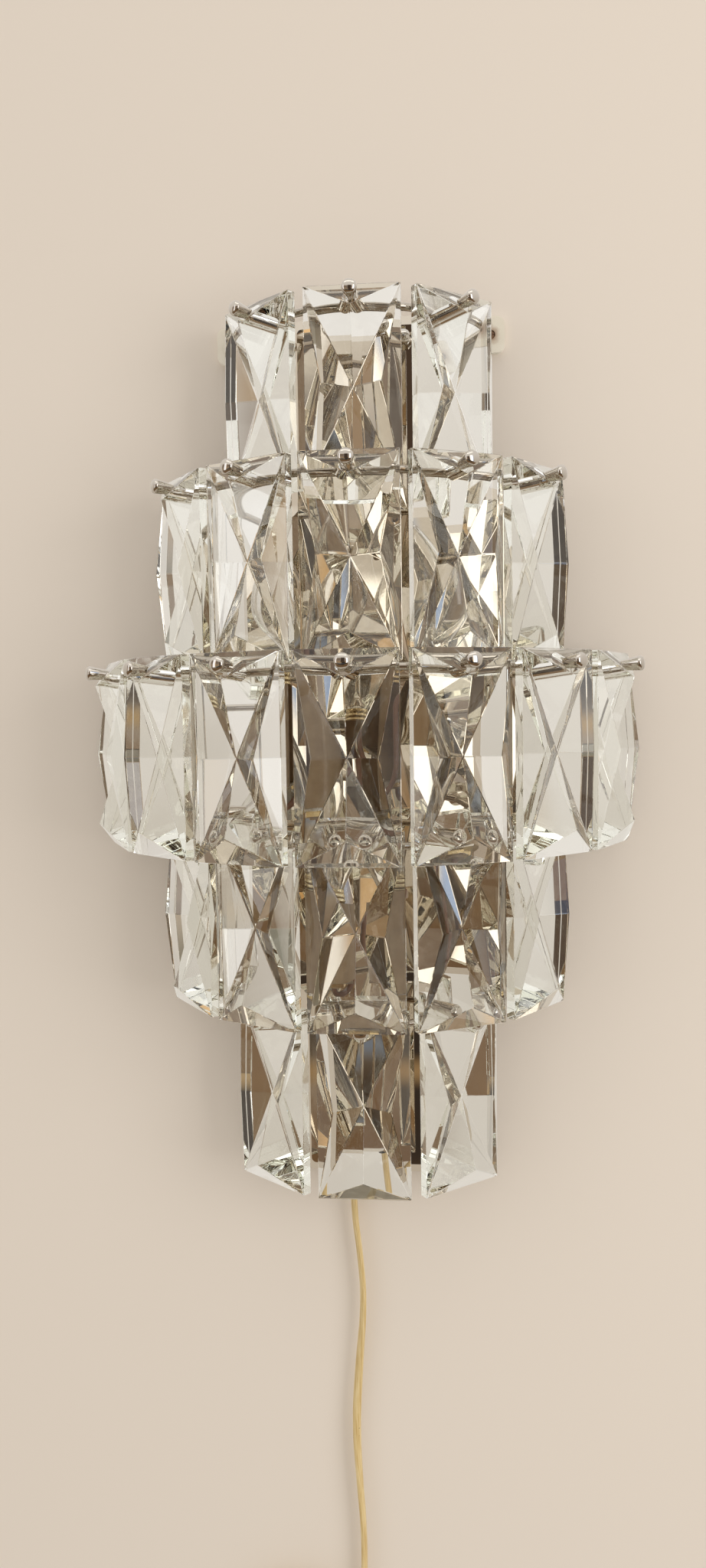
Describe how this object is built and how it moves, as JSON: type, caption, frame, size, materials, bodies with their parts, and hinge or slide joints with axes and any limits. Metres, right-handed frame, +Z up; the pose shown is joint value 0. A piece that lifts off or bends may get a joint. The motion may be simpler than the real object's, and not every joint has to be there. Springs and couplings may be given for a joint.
{
  "type": "crystal wall sconce",
  "caption": "Wall light with tiers of cut crystal slabs that hang from pins on bent rods round a mirror-finished back plate, with lamps inside and a hanging cord.",
  "frame": {"origin": "on the wall's face, midway between the wall bar's two screw holes", "axes": "+Z up, +Y into the wall, +X to the right as seen from the room"},
  "size_m": [0.298, 0.1321, 0.8897],
  "materials": {
    "crystal": "polished",
    "nickel_rod": "polished nickel",
    "nickel_pin": "polished nickel",
    "arm_steel": "satin",
    "holder_sleeve": "aged, satin",
    "bulb_cap": "polished",
    "bulb_glass": "clear",
    "cream_paint": "satin",
    "zinc_steel": "satin",
    "mirror_plate": "polished",
    "nickel_nut": "polished",
    "brass_nut": "satin",
    "block_plastic": "gloss",
    "lead_sleeve": "satin",
    "rubber_bush": "matte",
    "cord_sheath": "gloss",
    "tie_strap": "matte",
    "plug_plastic": "satin",
    "prong_nickel": "polished"
  },
  "bodies": {
    "frame": {"wall_bar": "cream_paint", "plate_studs": "zinc_steel", "back_plate": "mirror_plate", "dome_nuts": "nickel_nut", "ring_1": "nickel_rod", "ring_2": "nickel_rod", "ring_3": "nickel_rod", "ring_4": "nickel_rod", "ring_5": "nickel_rod", "pins_1": "nickel_pin", "pins_2": "nickel_pin", "pins_3": "nickel_pin", "pins_4": "nickel_pin", "pins_5": "nickel_pin", "lamp_arm_left": "arm_steel", "lampholder_left": "holder_sleeve", "bulb_cap_left": "bulb_cap", "bulb_glass_left": "bulb_glass", "lamp_arm_centre": "arm_steel", "lampholder_centre": "holder_sleeve", "bulb_cap_centre": "bulb_cap", "bulb_glass_centre": "bulb_glass", "lamp_arm_right": "arm_steel", "lampholder_right": "holder_sleeve", "bulb_cap_right": "bulb_cap", "bulb_glass_right": "bulb_glass", "holder_nuts": "brass_nut", "terminal_block": "block_plastic", "leads": "lead_sleeve", "cord_grommet": "rubber_bush", "cord": "cord_sheath", "cord_coil": "cord_sheath", "cord_tie": "tie_strap", "plug_body": "plug_plastic", "plug_prongs": "prong_nickel"},
    "slab_1_1": {"crystal_1_1": "crystal"},
    "slab_1_2": {"crystal_1_2": "crystal"},
    "slab_1_3": {"crystal_1_3": "crystal"},
    "slab_2_1": {"crystal_2_1": "crystal"},
    "slab_2_2": {"crystal_2_2": "crystal"},
    "slab_2_3": {"crystal_2_3": "crystal"},
    "slab_2_4": {"crystal_2_4": "crystal"},
    "slab_2_5": {"crystal_2_5": "crystal"},
    "slab_3_1": {"crystal_3_1": "crystal"},
    "slab_3_2": {"crystal_3_2": "crystal"},
    "slab_3_3": {"crystal_3_3": "crystal"},
    "slab_3_4": {"crystal_3_4": "crystal"},
    "slab_3_5": {"crystal_3_5": "crystal"},
    "slab_3_6": {"crystal_3_6": "crystal"},
    "slab_3_7": {"crystal_3_7": "crystal"},
    "slab_4_1": {"crystal_4_1": "crystal"},
    "slab_4_2": {"crystal_4_2": "crystal"},
    "slab_4_3": {"crystal_4_3": "crystal"},
    "slab_4_4": {"crystal_4_4": "crystal"},
    "slab_4_5": {"crystal_4_5": "crystal"},
    "slab_5_1": {"crystal_5_1": "crystal"},
    "slab_5_2": {"crystal_5_2": "crystal"},
    "slab_5_3": {"crystal_5_3": "crystal"}
  },
  "joints": [
    {"name": "swing_1_1", "type": "hinge", "parent": "frame", "child": "slab_1_1", "pos_m": [-0.048, -0.02644, 0.0041], "axis": [-0.6259, -0.775, 0.0872], "range_deg": [-3, 3]},
    {"name": "swing_1_2", "type": "hinge", "parent": "frame", "child": "slab_1_2", "pos_m": [0, -0.0434, 0.0041], "axis": [0, -0.9962, 0.0872], "range_deg": [-3, 3]},
    {"name": "swing_1_3", "type": "hinge", "parent": "frame", "child": "slab_1_3", "pos_m": [0.048, -0.02644, 0.0041], "axis": [0.6259, -0.775, 0.0872], "range_deg": [-3, 3]},
    {"name": "swing_2_1", "type": "hinge", "parent": "frame", "child": "slab_2_1", "pos_m": [-0.08866, -0.03091, -0.0858], "axis": [-0.8081, -0.5825, 0.0872], "range_deg": [-2, 2]},
    {"name": "swing_2_2", "type": "hinge", "parent": "frame", "child": "slab_2_2", "pos_m": [-0.0498, -0.06429, -0.0858], "axis": [-0.4539, -0.8868, 0.0872], "range_deg": [-2, 2]},
    {"name": "swing_2_3", "type": "hinge", "parent": "frame", "child": "slab_2_3", "pos_m": [0, -0.0763, -0.0858], "axis": [0, -0.9962, 0.0872], "range_deg": [-2, 2]},
    {"name": "swing_2_4", "type": "hinge", "parent": "frame", "child": "slab_2_4", "pos_m": [0.0498, -0.06429, -0.0858], "axis": [0.4539, -0.8868, 0.0872], "range_deg": [-2, 2]},
    {"name": "swing_2_5", "type": "hinge", "parent": "frame", "child": "slab_2_5", "pos_m": [0.08866, -0.03091, -0.0858], "axis": [0.8081, -0.5825, 0.0872], "range_deg": [-2, 2]},
    {"name": "swing_3_1", "type": "hinge", "parent": "frame", "child": "slab_3_1", "pos_m": [-0.12718, -0.02902, -0.1834], "axis": [-0.8954, -0.4367, 0.0872], "range_deg": [-2, 2]},
    {"name": "swing_3_2", "type": "hinge", "parent": "frame", "child": "slab_3_2", "pos_m": [-0.0959, -0.07104, -0.1834], "axis": [-0.6752, -0.7325, 0.0872], "range_deg": [-2, 2]},
    {"name": "swing_3_3", "type": "hinge", "parent": "frame", "child": "slab_3_3", "pos_m": [-0.05148, -0.0988, -0.1834], "axis": [-0.3624, -0.9279, 0.0872], "range_deg": [-2, 2]},
    {"name": "swing_3_4", "type": "hinge", "parent": "frame", "child": "slab_3_4", "pos_m": [0, -0.1085, -0.1834], "axis": [0, -0.9962, 0.0872], "range_deg": [-2, 2]},
    {"name": "swing_3_5", "type": "hinge", "parent": "frame", "child": "slab_3_5", "pos_m": [0.05148, -0.0988, -0.1834], "axis": [0.3624, -0.9279, 0.0872], "range_deg": [-2, 2]},
    {"name": "swing_3_6", "type": "hinge", "parent": "frame", "child": "slab_3_6", "pos_m": [0.0959, -0.07104, -0.1834], "axis": [0.6752, -0.7325, 0.0872], "range_deg": [-2, 2]},
    {"name": "swing_3_7", "type": "hinge", "parent": "frame", "child": "slab_3_7", "pos_m": [0.12718, -0.02902, -0.1834], "axis": [0.8954, -0.4367, 0.0872], "range_deg": [-2, 2]},
    {"name": "swing_4_1", "type": "hinge", "parent": "frame", "child": "slab_4_1", "pos_m": [-0.08866, -0.03091, -0.2722], "axis": [-0.8081, -0.5825, 0.0872], "range_deg": [-2, 2]},
    {"name": "swing_4_2", "type": "hinge", "parent": "frame", "child": "slab_4_2", "pos_m": [-0.0498, -0.06429, -0.2722], "axis": [-0.4539, -0.8868, 0.0872], "range_deg": [-2, 2]},
    {"name": "swing_4_3", "type": "hinge", "parent": "frame", "child": "slab_4_3", "pos_m": [0, -0.0763, -0.2722], "axis": [0, -0.9962, 0.0872], "range_deg": [-2, 2]},
    {"name": "swing_4_4", "type": "hinge", "parent": "frame", "child": "slab_4_4", "pos_m": [0.0498, -0.06429, -0.2722], "axis": [0.4539, -0.8868, 0.0872], "range_deg": [-2, 2]},
    {"name": "swing_4_5", "type": "hinge", "parent": "frame", "child": "slab_4_5", "pos_m": [0.08866, -0.03091, -0.2722], "axis": [0.8081, -0.5825, 0.0872], "range_deg": [-2, 2]},
    {"name": "swing_5_1", "type": "hinge", "parent": "frame", "child": "slab_5_1", "pos_m": [-0.048, -0.02644, -0.3723], "axis": [-0.6259, -0.775, 0.0872], "range_deg": [-3, 3]},
    {"name": "swing_5_2", "type": "hinge", "parent": "frame", "child": "slab_5_2", "pos_m": [0, -0.0434, -0.3723], "axis": [0, -0.9962, 0.0872], "range_deg": [-3, 3]},
    {"name": "swing_5_3", "type": "hinge", "parent": "frame", "child": "slab_5_3", "pos_m": [0.048, -0.02644, -0.3723], "axis": [0.6259, -0.775, 0.0872], "range_deg": [-3, 3]}
  ]
}
